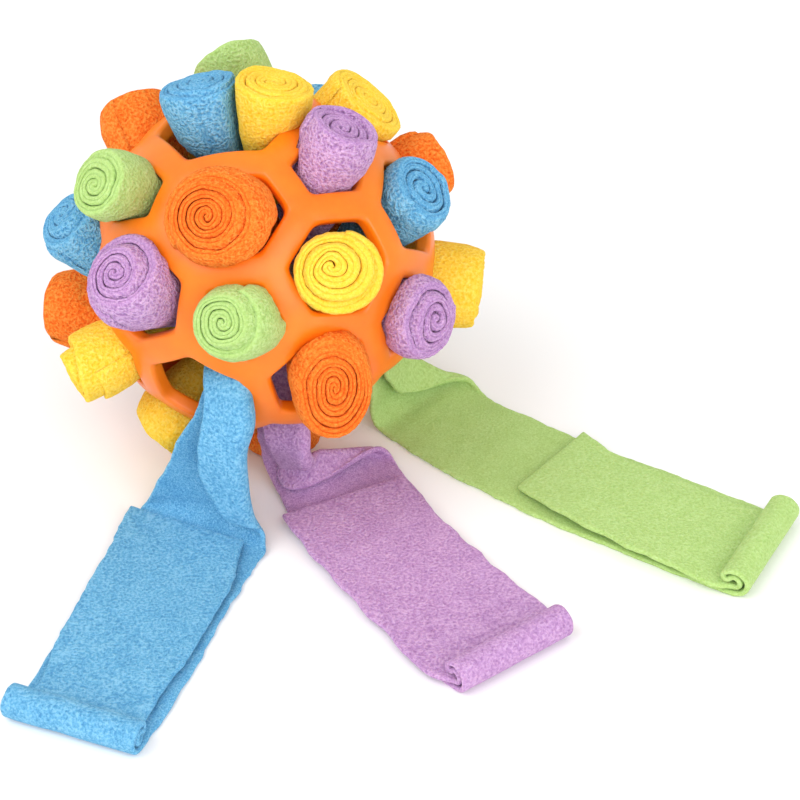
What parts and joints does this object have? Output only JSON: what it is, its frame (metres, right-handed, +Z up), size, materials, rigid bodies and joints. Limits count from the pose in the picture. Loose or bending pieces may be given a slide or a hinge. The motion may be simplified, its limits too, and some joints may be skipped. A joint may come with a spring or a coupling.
{
  "type": "fleece snuffle ball",
  "caption": "Hollow rubber lattice ball with wound fleece strips in its holes for hiding treats; some strips lie unrolled on the floor.",
  "frame": {"origin": "on the floor under the middle of the whole toy's box, with the toy standing as it does when the strips lie unrolled", "axes": "+Z up from the floor; -Y is the front, where the unrolled strips lie; +X to the right as seen from the front"},
  "size_m": [0.2642, 0.234, 0.1451],
  "materials": {
    "rubber_orange": "satin moulded natural rubber",
    "fleece_orange": "napped polar fleece",
    "fleece_yellow": "napped polar fleece",
    "fleece_blue": "napped polar fleece",
    "fleece_violet": "napped polar fleece",
    "fleece_green": "napped polar fleece",
    "fleece_knot": "sewn bundle of fleece ends"
  },
  "bodies": {
    "root": {"rubber_ball": "rubber_orange", "centre_knot": "fleece_knot", "roll_blue_1": "fleece_blue", "roll_blue_2": "fleece_blue", "roll_blue_3": "fleece_blue", "roll_blue_4": "fleece_blue", "roll_blue_5": "fleece_blue", "roll_green_1": "fleece_green", "roll_green_2": "fleece_green", "roll_green_3": "fleece_green", "roll_green_4": "fleece_green", "roll_green_5": "fleece_green", "roll_orange_1": "fleece_orange", "roll_orange_2": "fleece_orange", "roll_orange_3": "fleece_orange", "roll_orange_4": "fleece_orange", "roll_orange_5": "fleece_orange", "roll_orange_6": "fleece_orange", "roll_violet_1": "fleece_violet", "roll_violet_2": "fleece_violet", "roll_violet_3": "fleece_violet", "roll_violet_4": "fleece_violet", "roll_violet_5": "fleece_violet", "roll_yellow_1": "fleece_yellow", "roll_yellow_2": "fleece_yellow", "roll_yellow_3": "fleece_yellow", "roll_yellow_4": "fleece_yellow", "roll_yellow_5": "fleece_yellow", "roll_yellow_6": "fleece_yellow", "roll_yellow_7": "fleece_yellow", "roll_yellow_8": "fleece_yellow", "strip_blue": "fleece_blue", "strip_violet": "fleece_violet", "strip_green": "fleece_green"}
  },
  "joints": []
}
